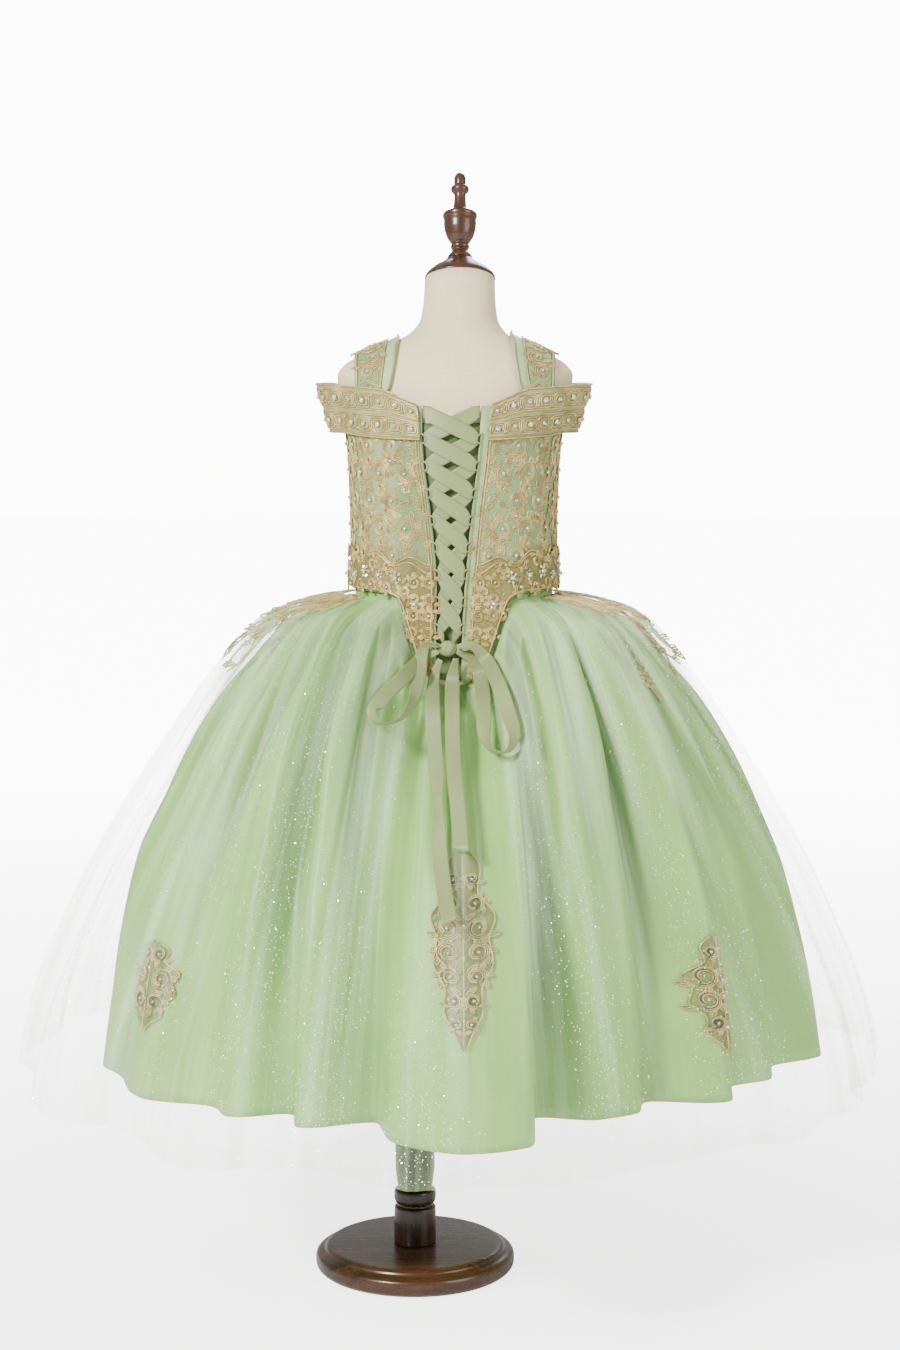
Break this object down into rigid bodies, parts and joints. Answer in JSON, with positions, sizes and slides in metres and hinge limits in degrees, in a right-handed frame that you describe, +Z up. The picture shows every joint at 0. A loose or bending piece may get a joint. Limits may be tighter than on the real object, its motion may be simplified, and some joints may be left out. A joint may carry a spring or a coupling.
{
  "type": "embroidered dress on a dress form",
  "caption": "Child's sage ball gown, laced at the back, with gold corded applique and a glittered net overskirt, worn by a limbless linen dress form on a turned wooden stand.",
  "frame": {"origin": "centre of the bounding box in plan, at the underside of the round base", "axes": "+Z up, +Y towards the front of the dress, +X towards the picture's right; the laced back, which the picture shows, faces -Y"},
  "size_m": [0.922, 0.9207, 1.1777],
  "materials": {
    "walnut": "satin varnish",
    "linen": "plain woven",
    "satin": "satin",
    "tulle": "glittered net",
    "gold_cord": "metallic cord embroidery",
    "ribbon": "matt satin ribbon",
    "placket": "satin in shade"
  },
  "bodies": {
    "root": {"arm_band_left": "gold_cord", "arm_band_right": "gold_cord", "bodice_back_left": "satin", "bodice_back_right": "satin", "bodice_front": "satin", "bodice_side_left": "satin", "bodice_side_right": "satin", "bow_knot": "ribbon", "bow_loop_left": "ribbon", "bow_loop_right": "ribbon", "hip_spray_back_left": "gold_cord", "hip_spray_back_right": "gold_cord", "hip_spray_front_left": "gold_cord", "hip_spray_front_right": "gold_cord", "lace_left": "ribbon", "lace_loops_left": "ribbon", "lace_loops_right": "ribbon", "lace_right": "ribbon", "lacing_placket": "placket", "neck_cap": "walnut", "neck_finial": "walnut", "skirt_back_left": "satin", "skirt_back_right": "satin", "skirt_front_left": "satin", "skirt_front_right": "satin", "skirt_motif_back": "gold_cord", "skirt_motif_back_left": "gold_cord", "skirt_motif_back_right": "gold_cord", "skirt_motif_front": "gold_cord", "skirt_motif_front_left": "gold_cord", "skirt_motif_front_right": "gold_cord", "skirt_side_left": "satin", "skirt_side_right": "satin", "stand_base": "walnut", "stand_column": "walnut", "strap_left": "satin", "strap_right": "satin", "tail_long": "ribbon", "tail_short": "ribbon", "torso": "linen", "tulle_back_left": "tulle", "tulle_back_right": "tulle", "tulle_front_left": "tulle", "tulle_front_right": "tulle", "waist_applique_back_left": "gold_cord", "waist_applique_back_right": "gold_cord", "waist_applique_front_left": "gold_cord", "waist_applique_front_right": "gold_cord"}
  },
  "joints": []
}
